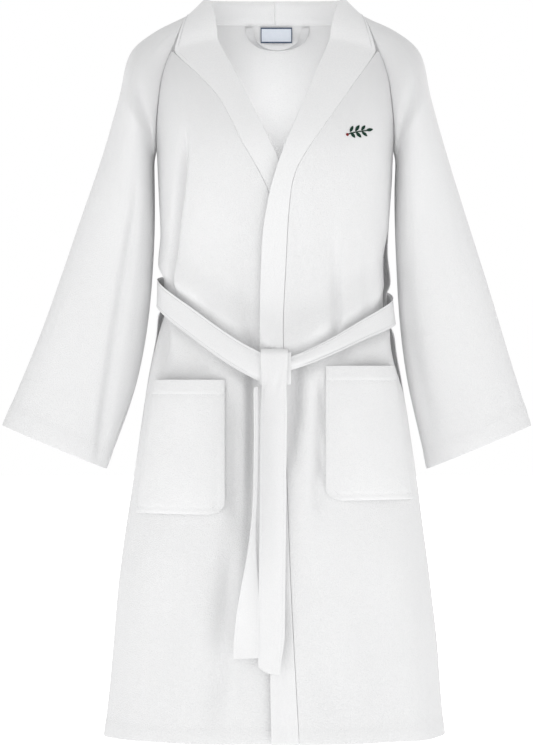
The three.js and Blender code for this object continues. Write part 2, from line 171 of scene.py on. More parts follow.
# Materials
def newGroup(name, inputs, outputs):
    tree = bpy.data.node_groups.new(name, "ShaderNodeTree")
    for socketName, kind, value in inputs:
        socket = tree.interface.new_socket(socketName, in_out="INPUT", socket_type=kind)
        if value is not None:
            socket.default_value = value
    for socketName, kind in outputs:
        tree.interface.new_socket(socketName, in_out="OUTPUT", socket_type=kind)
    return tree, tree.nodes.new("NodeGroupInput"), tree.nodes.new("NodeGroupOutput")


def addNode(tree, kind, settings=None, **values):
    node = tree.nodes.new(kind)
    for key, value in (settings or {}).items():
        setattr(node, key, value)
    for key, value in values.items():
        socket = node.inputs[int(key[1:])] if key[0] == "i" and key[1:].isdigit() else node.inputs[key]
        if isinstance(value, bpy.types.NodeSocket):
            tree.links.new(value, socket)
        else:
            socket.default_value = value
    return node


def reckon(tree, operation, clamped=False, **values):
    return addNode(tree, "ShaderNodeMath", {"operation": operation, "use_clamp": clamped}, **values)


# Pile: loops and cut nap, soft blotches where the nap lies differently, streaks along the cloth, and painted shade
# that darkens the hollows between the loops
def makePileGroup():
    tree, given, result = newGroup(
        "clothPile",
        [("Vector", "NodeSocketVector", None), ("Colour", "NodeSocketColor", (0.8, 0.8, 0.8, 1)),
         ("Shade", "NodeSocketColor", (0.7, 0.7, 0.72, 1)), ("Loops", "NodeSocketFloat", 620.0),
         ("Mottle", "NodeSocketFloat", 0.5), ("Rough", "NodeSocketFloat", 0.95)],
        [("Colour", "NodeSocketColor"), ("Height", "NodeSocketFloat"), ("Roughness", "NodeSocketFloat")])
    vector = given.outputs["Vector"]
    loops = addNode(tree, "ShaderNodeTexVoronoi", Vector=vector, Scale=given.outputs["Loops"], Randomness=0.85)
    fibre = addNode(tree, "ShaderNodeTexNoise", Vector=vector, Scale=2300.0, Detail=3.0, Roughness=0.6)
    stretched = addNode(tree, "ShaderNodeMapping", Vector=vector, Scale=(1.0, 0.16, 1.0))
    streaks = addNode(tree, "ShaderNodeTexNoise", Vector=stretched.outputs[0], Scale=95.0, Detail=4.0,
                      Roughness=0.55)
    blotch = addNode(tree, "ShaderNodeTexNoise", Vector=vector, Scale=26.0, Detail=3.0, Roughness=0.5)
    both = reckon(tree, "MULTIPLY_ADD", i0=streaks.outputs[0], i1=0.6, i2=0.0)
    tree.links.new(reckon(tree, "MULTIPLY", i0=blotch.outputs[0], i1=0.4).outputs[0],
                   both.inputs[2])
    mask = addNode(tree, "ShaderNodeMapRange", {"interpolation_type": "SMOOTHSTEP"}, Value=both.outputs[0],
                   **{"From Min": 0.36, "From Max": 0.62})
    amount = reckon(tree, "MULTIPLY", i0=mask.outputs[0], i1=given.outputs["Mottle"])
    # painted shade: the colour turns towards the Shade colour in the hollows between the loops, where the bump is
    # lowest
    pitShade = addNode(tree, "ShaderNodeMapRange", Value=loops.outputs["Distance"],
                   **{"From Min": 0.15, "From Max": 0.75, "To Max": 0.35})
    # the mix factor is the larger of the random blotches and the painted shade in the hollows
    depth = reckon(tree, "MAXIMUM", i0=amount.outputs[0], i1=pitShade.outputs[0])
    colour = addNode(tree, "ShaderNodeMix", {"data_type": "RGBA"}, Factor=depth.outputs[0])
    tree.links.new(given.outputs["Colour"], colour.inputs[6])
    tree.links.new(given.outputs["Shade"], colour.inputs[7])
    raised = reckon(tree, "SUBTRACT", i0=1.0, i1=loops.outputs["Distance"])
    height = reckon(tree, "MULTIPLY_ADD", i0=fibre.outputs[0], i1=0.8,
                     i2=raised.outputs[0])
    rough = reckon(tree, "MULTIPLY_ADD", i0=amount.outputs[0], i1=-0.06,
                    i2=given.outputs["Rough"])
    tree.links.new(colour.outputs[2], result.inputs["Colour"])
    tree.links.new(height.outputs[0], result.inputs["Height"])
    tree.links.new(rough.outputs[0], result.inputs["Roughness"])
    return tree


# Twill: slanted ribs crossed by fine picks, for tape, thread and label, with painted shade that darkens the
# grooves between the ribs
def makeTwillGroup():
    tree, given, result = newGroup(
        "twillWeave",
        [("Vector", "NodeSocketVector", None), ("Colour", "NodeSocketColor", (0.8, 0.8, 0.8, 1)),
         ("Shade", "NodeSocketColor", (0.6, 0.6, 0.62, 1)), ("Ribs", "NodeSocketFloat", 900.0)],
        [("Colour", "NodeSocketColor"), ("Height", "NodeSocketFloat"), ("Roughness", "NodeSocketFloat")])
    vector = given.outputs["Vector"]
    ribs = addNode(tree, "ShaderNodeTexWave", {"bands_direction": "DIAGONAL"}, Vector=vector,
                   Scale=given.outputs["Ribs"], Distortion=0.4, Detail=1.0)
    picks = addNode(tree, "ShaderNodeTexWave", {"bands_direction": "Y"}, Vector=vector,
                    Scale=given.outputs["Ribs"], Distortion=0.2)
    height = reckon(tree, "MULTIPLY_ADD", i0=picks.outputs["Fac"], i1=0.4,
                     i2=ribs.outputs["Fac"])
    wear = addNode(tree, "ShaderNodeTexNoise", Vector=vector, Scale=140.0, Detail=3.0)
    mask = reckon(tree, "MULTIPLY", i0=wear.outputs[0], i1=0.6)
    # painted shade: where the weave height is low, in its grooves, the colour is mixed towards the Shade colour,
    # on top of the random wear tone
    low = reckon(tree, "SUBTRACT", clamped=True, i0=1.0, i1=height.outputs[0])
    depth = reckon(tree, "MULTIPLY_ADD", clamped=True, i0=low.outputs[0], i1=0.5,
                    i2=mask.outputs[0])
    colour = addNode(tree, "ShaderNodeMix", {"data_type": "RGBA"}, Factor=depth.outputs[0])
    tree.links.new(given.outputs["Colour"], colour.inputs[6])
    tree.links.new(given.outputs["Shade"], colour.inputs[7])
    rough = addNode(tree, "ShaderNodeMapRange", Value=height.outputs[0], **{"To Min": 0.9, "To Max": 0.72})
    tree.links.new(colour.outputs[2], result.inputs["Colour"])
    tree.links.new(height.outputs[0], result.inputs["Height"])
    tree.links.new(rough.outputs[0], result.inputs["Roughness"])
    return tree


pileGroup = makePileGroup()
twillGroup = makeTwillGroup()


def makeCloth(name, group, values, bump, sheen=0.0, sheenRough=0.5):
    material = bpy.data.materials.new(name)
    material.use_nodes = True
    tree = material.node_tree
    shader = tree.nodes["Principled BSDF"]
    flatMap = addNode(tree, "ShaderNodeUVMap", {"uv_map": "clothMap"})
    weave = addNode(tree, "ShaderNodeGroup", {"node_tree": group})
    tree.links.new(flatMap.outputs[0], weave.inputs["Vector"])
    for key, value in values.items():
        weave.inputs[key].default_value = value
    relief = addNode(tree, "ShaderNodeBump", Strength=bump[0], Distance=bump[1], Height=weave.outputs["Height"])
    tree.links.new(weave.outputs["Colour"], shader.inputs["Base Color"])
    tree.links.new(weave.outputs["Roughness"], shader.inputs["Roughness"])
    tree.links.new(relief.outputs[0], shader.inputs["Normal"])
    shader.inputs["Specular IOR Level"].default_value = 0.18
    shader.inputs["Sheen Weight"].default_value = sheen
    shader.inputs["Sheen Roughness"].default_value = sheenRough
    return material


# each Shade colour is the painted shade used in the hollows of the pile and the grooves of the weave, and also the
# darker tone of the random blotches and wear
finishes = {
    "pile_cloth": makeCloth("whitePile", pileGroup, {
        "Colour": (0.80, 0.80, 0.80, 1), "Shade": (0.69, 0.695, 0.71, 1), "Loops": 620.0, "Mottle": 0.22,
        "Rough": 0.96}, (0.5, 0.0009), 0.12, 0.45),
    "band_cloth": makeCloth("whiteBand", pileGroup, {
        "Colour": (0.815, 0.815, 0.815, 1), "Shade": (0.71, 0.715, 0.73, 1), "Loops": 760.0, "Mottle": 0.14,
        "Rough": 0.95}, (0.4, 0.0007), 0.12, 0.4),
    "tape": makeCloth("whiteTape", twillGroup, {
        "Colour": (0.80, 0.80, 0.80, 1), "Shade": (0.66, 0.665, 0.68, 1), "Ribs": 420.0}, (0.5, 0.0004)),
    "label": makeCloth("paleLabel", twillGroup, {
        "Colour": (0.76, 0.80, 0.86, 1), "Shade": (0.64, 0.69, 0.77, 1), "Ribs": 700.0}, (0.3, 0.0002)),
    "emblem_thread": makeCloth("greenThread", twillGroup, {
        "Colour": (0.012, 0.055, 0.034, 1), "Shade": (0.004, 0.022, 0.014, 1), "Ribs": 520.0}, (0.6,
                                                                                                0.0003), 0.1, 0.3),
}
seamThread = makeCloth("seamThread", twillGroup, {
    "Colour": (0.78, 0.78, 0.785, 1), "Shade": (0.6, 0.605, 0.62, 1), "Ribs": 800.0}, (0.4, 0.0002))
redThread = makeCloth("redThread", twillGroup, {
    "Colour": (0.32, 0.018, 0.02, 1), "Shade": (0.14, 0.008, 0.01, 1), "Ribs": 520.0}, (0.6, 0.0003))
labelBorder = makeCloth("labelBorder", twillGroup, {
    "Colour": (0.10, 0.13, 0.20, 1), "Shade": (0.05, 0.07, 0.11, 1), "Ribs": 700.0}, (0.4, 0.0002))
print("materials ready")

floorMesh = bmesh.new()
bmesh.ops.create_circle(floorMesh, cap_ends=True, segments=96, radius=studio["floorSize"])
floorZ = cadLow.z - studio["floorGap"]
bmesh.ops.translate(floorMesh, verts=floorMesh.verts, vec=(0, 0, floorZ))
floorData = bpy.data.meshes.new("paleFloor")
floorMesh.to_mesh(floorData)
floorMesh.free()
paleFloor = bpy.data.objects.new("paleFloor", floorData)
scene.collection.objects.link(paleFloor)
floorFinish = bpy.data.materials.new("paleFloor")
floorFinish.use_nodes = True
floorShader = floorFinish.node_tree.nodes["Principled BSDF"]
floorShader.inputs["Base Color"].default_value = (0.93, 0.93, 0.93, 1)
floorShader.inputs["Roughness"].default_value = 0.7
floorShader.inputs["Emission Color"].default_value = (1, 1, 1, 1)
floorShader.inputs["Emission Strength"].default_value = studio["floorGlow"]
floorShader.inputs["Specular IOR Level"].default_value = 0.2
floorData.materials.append(floorFinish)


# Making pieces
def finishPiece(name, bm, material, nodes, body=None, thickness=0.0, smooth=1, outward=None):
    bm.normal_update()
    if outward is not None:
        middle = min(bm.faces, key=lambda f: (f.calc_center_median() - outward[0]).length)
        if middle.normal.dot(outward[1]) < 0:
            bmesh.ops.reverse_faces(bm, faces=bm.faces)
    bmesh.ops.scale(bm, vec=(toMetres,) * 3, verts=bm.verts)
    for face in bm.faces:
        face.smooth = True
    data = bpy.data.meshes.new(name)
    bm.to_mesh(data)
    bm.free()
    piece = bpy.data.objects.new(name, data)
    scene.collection.objects.link(piece)
    for one in material if isinstance(material, (list, tuple)) else [material]:
        data.materials.append(one)
    if thickness:
        shell = piece.modifiers.new("clothThickness", "SOLIDIFY")
        shell.thickness = thickness * toMetres
        shell.offset = -1
        shell.use_even_offset = True
        shell.thickness_clamp = 1.0
        if smooth:
            soft = piece.modifiers.new("softEdges", "SUBSURF")
            soft.levels = soft.render_levels = smooth
    if nodes:
        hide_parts(*nodes)
    if body:
        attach(piece, body)
    return piece


def clothGrid(columns, rows, place, flat, seam=False):
    # the outer rows are narrow, so that the edges keep their place when they are softened
    def tight(t, count):
        border = 0.14 / count
        return t if t in (0.0, 1.0) else lerp(border, 1 - border, (t * count - 1) / (count - 2))
    bm = bmesh.new()
    sheetMap = bm.loops.layers.uv.new("clothMap")
    bmesh.ops.create_grid(bm, x_segments=columns, y_segments=rows, size=1.0)
    for vert in bm.verts:
        u, v = round((vert.co.x + 1) / 2, 5), round((vert.co.y + 1) / 2, 5)
        vert.co = (u if seam else tight(u, columns), tight(v, rows), 0)
    for face in bm.faces:
        for loop in face.loops:
            loop[sheetMap].uv = (loop.vert.co.x * flat[0] * toMetres, loop.vert.co.y * flat[1] * toMetres)
    for vert in bm.verts:
        vert.co = place(vert.co.x, vert.co.y)
    if seam:
        bmesh.ops.remove_doubles(bm, verts=bm.verts, dist=0.05)
    return bm


# Short raised stitches that follow points lying on the cloth, each with the way out of the cloth
forward = Vector((0, -1, 0))
backward = Vector((0, 1, 0))
stitching = {"edges": (0.105, 0.895), "pitch": 3.4, "length": 2.5, "radius": 0.42, "sides": 6, "lift": 0.12}


def facingSign(place, u, v, outward):
    return 1 if clothNormal(place, u, v).dot(outward) > 0 else -1


def clothNormal(place, u, v, step=0.003):
    across = place(min(u + step, 1), v) - place(max(u - step, 0), v)
    along = place(u, min(v + step, 1)) - place(u, max(v - step, 0))
    return across.cross(along).normalized()


def stitchLine(bm, place, spots, sign):
    threadMap = bm.loops.layers.uv.get("clothMap") or bm.loops.layers.uv.new("clothMap")
    points = [(place(u, v), clothNormal(place, u, v) * sign) for u, v in spots]
    travelled, wanted = 0.0, 1.0
    for (a, outA), (b, outB) in zip(points, points[1:]):
        span = (b - a).length
        if span < 1e-6:
            continue
        along = (b - a) / span
        while wanted <= travelled + span:
            share = (wanted - travelled) / span
            out = outA.lerp(outB, share).normalized()
            across = along.cross(out).normalized()
            up = across.cross(along).normalized()
            place3 = Matrix.Translation(a.lerp(b, share) + out * stitching["lift"])
            made = bmesh.ops.create_cone(
                bm, cap_ends=True, segments=stitching["sides"], radius1=stitching["radius"],
                radius2=stitching["radius"], depth=stitching["length"],
                matrix=place3 @ Matrix((across, up, along)).transposed().to_4x4())
            for vert in made["verts"]:
                for loop in vert.link_loops:
                    loop[threadMap].uv = ((vert.co.x + vert.co.y) * toMetres, vert.co.z * toMetres)
            wanted += stitching["pitch"]
        travelled += span


def sewLines(name, place, lines, outwardAt, material, body):
    bm = bmesh.new()
    bm.loops.layers.uv.new("clothMap")
    sign = facingSign(place, *outwardAt)
    for spots in lines:
        stitchLine(bm, place, spots, sign)
    return finishPiece(name, bm, material, [], body)


def straight(start, end, count=60):
    return [(lerp(start[0], end[0], k / count), lerp(start[1], end[1], k / count)) for k in range(count + 1)]


# The robe's own shape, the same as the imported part's
backLow, backHigh = boxOf("back_panel")
shape = {
    "neckDrop": 56, "crossDrop": 231, "armpitDrop": 214, "waistDrop": 439, "hipDrop": 574,
    "length": -backLow.z, "hemWidth": backHigh.x, "squareness": 2.4,
    "widths": (178, 196, 183.5, 176, 198), "depths": (55, 102, 122, 112, 130, 150),
    "ridge": ((139, 6), (190, -22), (225, -55), (242, -124)), "ridgeY": (-62, -105),
    "neckReach": 60, "armReach": 78, "bandWidth": 41, "overLap": 23, "underLap": 46, "crossShift": 6,
    "lapDepth": 9.5, "collarRise": 37, "collarLean": 10, "cloth": 3.0, "doubleCloth": 5.0, "seamGap": 0.2,
}
armpitDrop, hipDrop, waistDrop, robeLength = (shape[k] for k in ("armpitDrop", "hipDrop", "waistDrop",
                                                                 "length"))
crossDrop, neckDrop, bandWidth, squareness = (shape[k] for k in ("crossDrop", "neckDrop", "bandWidth",
                                                                 "squareness"))
neckWidth, yokeWidth, chestWidth, waistWidth, hipWidth = shape["widths"]
neckDepth, yokeDepth, chestDepth, waistDepth, hipDepth, hemDepth = shape["depths"]
ridgeNeckY, ridgeArmY = shape["ridgeY"]
skirtDrop = (hipDrop + robeLength) / 2
halfWidth = through((0, neckWidth), (armpitDrop / 2, yokeWidth), (armpitDrop, chestWidth),
                    (waistDrop, waistWidth),
                    (hipDrop, hipWidth), (skirtDrop, lerp(hipWidth, shape["hemWidth"], 0.6)),
                    (robeLength, shape["hemWidth"]))
halfDepth = through((0, neckDepth), (armpitDrop / 2, yokeDepth), (armpitDrop, chestDepth),
                    (waistDrop, waistDepth),
                    (hipDrop, hipDepth), (robeLength, hemDepth))
middleY = through((0, -neckDepth), (armpitDrop / 2, -85), (armpitDrop, ridgeArmY), (waistDrop, -110),
                  (robeLength, -110))


def bodyPoint(angle, drop, outset=0.0):
    wide, deep = halfWidth(drop), halfDepth(drop)
    side, end = math.sin(angle), math.cos(angle)
    across, along = abs(side) ** (2 / squareness), abs(end) ** (2 / squareness)
    nx = math.copysign(across ** (squareness - 1) / wide, side)
    ny = math.copysign(along ** (squareness - 1) / deep, end)
    size = math.hypot(nx, ny) or 1.0
    return Vector((math.copysign(across * wide, side) + outset * nx / size,
                   middleY(drop) + math.copysign(along * deep, end) + outset * ny / size, -drop))


def angleAt(across, drop, front=True):
    share = clamp(abs(across) / halfWidth(drop)) ** (squareness / 2)
    angle = math.pi - math.asin(share) if front else math.asin(share)
    return -angle if across < 0 else angle


def catmull(points, t):
    last = len(points) - 1
    spot = clamp(t) * last
    k = min(int(spot), last - 1)
    f = spot - k
    a = points[k - 1] if k > 0 else points[0] * 2 - points[1]
    b, c = points[k], points[k + 1]
    d = points[k + 2] if k + 2 <= last else points[last] * 2 - points[last - 1]

    def knot(p, q):
        return max((q - p).length ** 0.5, 1e-6)
    d0, d1, d2 = knot(a, b), knot(b, c), knot(c, d)
    m1 = ((b - a) / d0 - (c - a) / (d0 + d1) + (c - b) / d1) * d1
    m2 = ((c - b) / d1 - (d - b) / (d1 + d2) + (d - c) / d2) * d1
    return b + m1 * f + (b * -3 + c * 3 - m1 * 2 - m2) * f ** 2 + (b * 2 - c * 2 + m1 + m2) * f ** 3


ridgeLine = [Vector((x, 0, z)) for x, z in shape["ridge"]]
backReach = through((0, shape["neckReach"] - 4), (0.33, shape["neckReach"] + 14), (1, shape["armReach"]))


def capReach(v, front):
    return lerp(shape["neckReach"], shape["armReach"], v) if front else backReach(v)


def capDrop(v, front):
    return lerp(neckDrop, armpitDrop, v) if front else armpitDrop * v


def capTurn(v):
    return lerp(math.pi / 2, math.pi * 0.96, v ** 1.6)


def raglanSeam(v, front):
    drop = capDrop(v, front)
    y = lerp(ridgeNeckY, ridgeArmY, v) + (-1 if front else 1) * capReach(v, front) * math.sin(capTurn(v))
    share = clamp(abs(y - middleY(drop)) / halfDepth(drop))
    return Vector((halfWidth(drop) * (1 - share ** squareness) ** (1 / squareness), y, -drop))


def capPoint(v, turn, side):
    front = turn < 0
    end, top = raglanSeam(v, front), catmull(ridgeLine, v)
    limit = math.cos(capTurn(v))
    centre = (end - top * limit) / (1 - limit)
    angle = abs(turn) * capTurn(v)
    point = (top - centre) * math.cos(angle) + centre
    point.y = lerp(ridgeNeckY, ridgeArmY, v) + math.copysign(capReach(v, front) * math.sin(angle), turn)
    point.x *= side
    return point


neckCorner = raglanSeam(0, True).x - 3
edgeTopDrop = neckDrop - bandWidth * 0.44
seamLine = {
    "left": through((neckDrop, neckCorner), (lerp(neckDrop, crossDrop, 0.5),
                                             lerp(neckCorner, bandWidth - 2, 0.5)),
                    (crossDrop + 5, bandWidth - 4), (crossDrop + 47, 24), (crossDrop + 174, 15.5),
                    (waistDrop + 64, 12), (skirtDrop, 22), (robeLength, 36)),
    "right": through((neckDrop, neckCorner), (lerp(neckDrop, crossDrop, 0.42), 89),
                     (lerp(neckDrop, crossDrop, 0.83), 52), (crossDrop + 36, 15), (crossDrop + 91, -2),
                     (waistDrop, -5), (robeLength, -20)),
}
edgeLine = {
    "left": through((edgeTopDrop, 84), ((edgeTopDrop + crossDrop) / 2, 45), (crossDrop, shape["crossShift"]),
                    (crossDrop + 57, -10), (crossDrop + 124, 3 - shape["overLap"]),
                    (waistDrop + 87, -shape["overLap"]), (skirtDrop, -11), (robeLength, -6)),
    "right": through((edgeTopDrop, 88), ((edgeTopDrop + crossDrop) / 2, 41), (crossDrop, -shape["crossShift"]),
                     (crossDrop + 81, 6 - shape["underLap"]), (crossDrop + 150, -shape["underLap"]),
                     (robeLength, -shape["underLap"] - 14)),
}

# Belt line, so that the cloth can be drawn in under it
belt = {"width": 40, "back": 419, "side": {"left": 456, "right": 428}, "front": {"left": 542, "right": 549},
        "frontHeight": {"left": 19, "right": 44}, "stand": 2.6, "underKnot": 13}
beltLine, beltReach = {}, {}
for which in ("left", "right"):
    beltLine[which] = through((0, belt["back"]), (math.pi / 2, belt["side"][which]),
                              (math.pi * 0.75, lerp(belt["side"][which], belt["front"][which], 0.34)),
                              (math.pi, belt["front"][which] + 4))
    beltReach[which] = through((0, belt["width"] / 2), (math.pi / 2, belt["width"] / 2),
                               (math.pi, belt["frontHeight"][which] / 2))

# Folds: how the cloth stands in (minus) or out from its smooth shape, in millimetres
# path is (drop, across) down the fold; span is where it starts, is full, starts to ease and ends
frontFolds = [
    {"path": ((199, -136), (264, -141), (334, -149), (429, -158)), "width": 7, "depth": -20, "lean": 1,
     "span": (164, 254, 419, 464)},
    {"path": ((194, -120), (434, -136)), "width": 20, "depth": 4, "span": (174, 314, 414, 484)},
    {"path": ((334, -52), (434, -46), (514, -36)), "width": 15, "depth": -5, "span": (314, 484, 514, 559)},
    {"path": ((484, -42), (514, -37)), "width": 13, "depth": -8, "span": (469, 504, 514, 544)},
    {"path": ((314, -92), (454, -98)), "width": 17, "depth": -4, "span": (274, 414, 444, 494)},
    {"path": ((454, -174), (574, -178)), "width": 12, "depth": -16, "lean": -1, "span": (439, 469, 484, 599)},
    {"path": ((494, -118), (554, -112)), "width": 20, "depth": -6, "span": (474, 519, 529, 574)},
    {"path": ((254, 40), (454, 41), (514, 40)), "width": 11, "depth": -4, "span": (244, 414, 504, 544)},
    {"path": ((344, 94), (494, 96)), "width": 10, "depth": -13, "lean": 1, "span": (314, 454, 479, 514)},
    {"path": ((314, 68), (494, 70)), "width": 16, "depth": 4, "span": (294, 434, 474, 524)},
    {"path": ((374, 146), (474, 140)), "width": 12, "depth": -6, "span": (344, 424, 454, 484)},
    {"path": ((344, 176), (464, 172)), "width": 12, "depth": -12, "span": (314, 414, 454, 494)},
    {"path": ((504, 104), (554, 103)), "width": 10, "depth": -9, "span": (492, 519, 529, 559)},
    {"path": ((484, 183), (574, 190)), "width": 12, "depth": -9, "span": (469, 504, 534, 614)},
    {"path": ((529, 36), (594, 33), (704, 22)), "width": 12, "depth": -25, "lean": 1,
     "span": (514, 546, 574, 734)},
    {"path": ((534, 56), (654, 48), (774, 42)), "width": 12, "depth": 6, "span": (519, 574, 634, 814)},
    {"path": ((559, 74), (664, 72), (756, 64)), "width": 6, "depth": -13, "lean": 1,
     "span": (544, 584, 704, 804)},
    {"path": ((544, -36), (654, -36), (914, -40)), "width": 15, "depth": -17, "lean": -1,
     "span": (529, 564, 634, 914)},
    {"path": ((574, -60), (714, -62), (784, -60)), "width": 11, "depth": -7, "span": (554, 634, 734, 814)},
    {"path": ((814, -66), (914, -74), (1054, -88)), "width": 21, "depth": -15, "lean": 1,
     "span": (774, 904, 1004, 1106)},
    {"path": ((774, 55), (1112, 84)), "width": 24, "depth": -6, "span": (754, 894, 1014, 1112)},
    {"path": ((814, 150), (1112, 172)), "width": 30, "depth": -7, "span": (794, 954, 1112, 1214)},
    {"path": ((814, -160), (1112, -186)), "width": 30, "depth": -6, "span": (794, 954, 1112, 1214)},
    {"path": ((814, 10), (1112, 14)), "width": 12, "depth": -5, "span": (854, 944, 1074, 1214)},
]
backFolds = [
    {"path": ((444, x), (774, x * 1.15), (1112, x * 1.42)), "width": 13 + 9 * (k % 3),
     "depth": -9 - 3 * (k % 2),
     "span": (416, 484 + 20 * (k % 3), 714, 1264 - 90 * (k % 2)), "spread": 1.1}
    for k, x in enumerate((-148, -104, -67, -22, 18, 59, 98, 139))
] + [
    {"path": ((194, x * 1.1), (414, x)), "width": 11 + 4 * (k % 2), "depth": -6,
     "span": (264 - 40 * (k % 2), 384, 406, 439)}
    for k, x in enumerate((-132, -88, -41, 4, 47, 92, 136))
]


def foldField(folds):
    ready = [(through(*f["path"]), f) for f in folds]

    def at(across, drop):
        total = 0.0
        for line, f in ready:
            start, full, fading, end = f["span"]
            if not start < drop < end:
                continue
            width = f["width"] * (1 + f.get("spread", 0) * ease(drop, full, robeLength))
            t = (across - line(drop)) / width
            if f.get("lean") and t * f["lean"] > 0:
                t *= 2.4
            if abs(t) < 2.6:
                total += f["depth"] * math.exp(-t * t) * ease(drop, start, full) * (1 - ease(drop, fading, end))
        return total
    return at


frontField, backField = foldField(frontFolds), foldField(backFolds)
drape = {"seed": 7.3, "large": 2.2, "streak": 0.55, "flute": 5.0, "blouse": 5.0, "draw": 3.0}


pocket = {"height": 203, "inside": 75, "side": 0.43, "belly": 18, "corner": 19, "gap": 0.5,
          "top": {which: -boxOf("pocket_" + which)[1].z - 0.35 for which in ("left", "right")},
          "hem": 23, "stitch": 8.5}


# 1 behind a pocket, where the front lies smooth, and 0 away from it
def behindPocket(angle, drop):
    which = "left" if angle > 0 else "right"
    top = pocket["top"][which]
    across = abs(bodyPoint(angle, drop).x)
    level = ease(drop, top - 12, top + 2) * (1 - ease(drop, top + pocket["height"] - 2,
                                                      top + pocket["height"] + 14))
    return level * ease(across, pocket["inside"] - 9, pocket["inside"] + 3) * (
        1 - ease(math.pi / 2 + pocket["side"] - abs(angle), -0.02, 0.1))


def rawRaglanX(drop, front):
    v = (drop - neckDrop) / (armpitDrop - neckDrop) if front else drop / armpitDrop
    return raglanSeam(clamp(v), front).x


def standOff(angle, drop):
    front = abs(angle) > math.pi / 2
    point = bodyPoint(angle, drop)
    across = point.x
    girth = across + (0 if front else 900)
    value = frontField(across, drop) if front else backField(across, drop)
    toSide = abs(abs(angle) - math.pi / 2)
    if drop > armpitDrop:
        value *= ease(toSide, 0.02, 0.3) if not front else 1.0
    value += drape["large"] * noise.noise(Vector((girth / 95, drop / 210, drape["seed"])))
    value += drape["streak"] * noise.noise(Vector((girth / 13, drop / 120, drape["seed"] + 9)))
    if front:
        value *= 1 - behindPocket(angle, drop)
    # the back swells at the sides, close to the sleeves
    if not front:
        value += 6.0 * hump(abs(angle) - 1.24, 0.2) * ease(drop, 214, 260) * (1 - ease(drop, 440, 500))
    # flutes that open towards the hem, strongest at the sides
    opening = ease(drop, hipDrop, robeLength) * (1 - ease(abs(angle), 1.9, 2.6) * 0.9)
    value += drape["flute"] * opening * (math.sin(6 * angle + 0.7) * 0.6 + math.sin(11 * angle + 2.1) * 0.4)
    # the cloth swells a little above the belt and is drawn in under it
    which = "left" if angle > 0 else "right"
    fromBelt = drop - beltLine[which](abs(angle))
    reach = beltReach[which](abs(angle))
    above = fromBelt + reach
    value += drape["blouse"] * ease(above, -75, -22) * (1 - ease(above, -20, 0))
    value += drape["blouse"] * 0.5 * (1 - ease(fromBelt - reach, 16, 60)) * ease(fromBelt - reach, 0, 16)
    under = (1 - ease(abs(fromBelt), reach + 2, reach + 16))
    value = lerp(value, min(value, 0) * 0.55 - drape["draw"], under)
    # nothing moves where the sleeve or neck is sewn on
    if drop < armpitDrop + 50:
        if drop < armpitDrop:
            gap = rawRaglanX(drop, front) - abs(across)
        else:
            gap = max((drop - armpitDrop) * 0.8, halfWidth(drop) - abs(across))
        value *= ease(gap, 0, 32)
    if not front:
        value *= ease(drop, 0, 40)
    return value


def bodyCloth(angle, drop, outset=0.0):
    return bodyPoint(angle, drop, standOff(angle, drop) + outset)


def frontCloth(which, across, drop, outset=0.0):
    side = 1 if which == "left" else -1
    dip = -shape["lapDepth"] * (1 - ease(across, 25, 95)) if which == "right" else 0.0
    return bodyCloth(angleAt(side * across, drop), drop, dip + outset)


# Back panel
hem = {"deep": 21, "swell": 0.9, "groove": 0.9}


def hemSwell(fromHem):
    groove = hem["groove"] * hump(fromHem - hem["deep"], 2.2)
    return hem["swell"] * (1 - ease(fromHem, hem["deep"] - 2, hem["deep"] + 2)) - groove


def placeBack(u, v):
    drop = lerp(robeLength, shape["seamGap"], v)
    if drop > armpitDrop:
        edge = math.pi / 2
    else:
        edge = angleAt(raglanSeam(drop / armpitDrop, False).x, drop, False)
    edge -= shape["seamGap"] / 180
    return bodyCloth(lerp(-edge, edge, u), drop, hemSwell(robeLength - drop))


backCloth = finishPiece("backCloth", clothGrid(80, 132, placeBack, (620, 1120)), finishes["pile_cloth"],
                        ["back_panel"], "robe", shape["cloth"], 1, (Vector((0, 20, -600)), backward))
print("back panel sewn")


# Fronts
def frontEdgeAngle(drop):
    if drop > armpitDrop:
        return math.pi / 2
    return angleAt(raglanSeam((drop - neckDrop) / (armpitDrop - neckDrop), True).x, drop)


def placeFront(which):
    def place(u, v):
        drop = lerp(robeLength, neckDrop + shape["seamGap"], v)
        seam = seamLine[which](drop) + shape["seamGap"]
        start = angleAt(seam, drop)
        start = start if seam > 0 else 2 * math.pi + start
        angle = lerp(start, frontEdgeAngle(drop) + shape["seamGap"] / 180, u)
        across = bodyPoint(angle, drop).x
        return frontCloth(which, across, drop, hemSwell(robeLength - drop))
    return place


for which, side in (("left", 1), ("right", -1)):
    name = "frontCloth" + which.title()
    finishPiece(
        name, clothGrid(46, 132, placeFront(which), (300, 1060)), finishes["pile_cloth"],
        ["front_panel_" + which], "robe", shape["cloth"], 1, (Vector((side * 120, -240, -600)), forward))
print("fronts sewn")


# Raglan sleeves, cap and sleeve cut in one
cuff = {"length": 575, "reach": 330, "drop": 669, "width": 174, "depth": 30, "tilt": math.radians(22.6),
        "swing": 13,
        "elbow": (188.5, 364), "forearm": (206, 548), "underarm": 4, "hem": 31, "capShare": 0.27}
sleeveFolds = {
    "left": [{"path": ((0, -0.42), (1, -0.55)), "width": 0.13, "depth": -3, "span": (0.1, 0.4, 0.8, 1.0)},
             {"path": ((0, 0.5), (1, 0.42)), "width": 0.07, "depth": -7, "span": (0.02, 0.3, 0.7, 1.0)},
             {"path": ((0, -0.8), (1, -0.78)), "width": 0.08, "depth": -5, "span": (0.3, 0.6, 0.8, 1.0)}],
    "right": [{"path": ((0, -0.62), (0.5, -0.6), (0.75, -0.66), (1, -0.8)), "width": 0.05, "depth": -10,
               "lean": 1,
               "span": (0.12, 0.42, 0.85, 1.05)},
              {"path": ((0, -0.3), (1, -0.42)), "width": 0.16, "depth": -3, "span": (0.2, 0.5, 0.8, 1.0)},
              {"path": ((0, 0.45), (1, 0.4)), "width": 0.07, "depth": -7, "span": (0.02, 0.3, 0.7, 1.0)}],
}
armhole = {"path": through((84, 214), (144, 204), (214, 187), (274, 184)), "width": 9.5, "depth": 17}


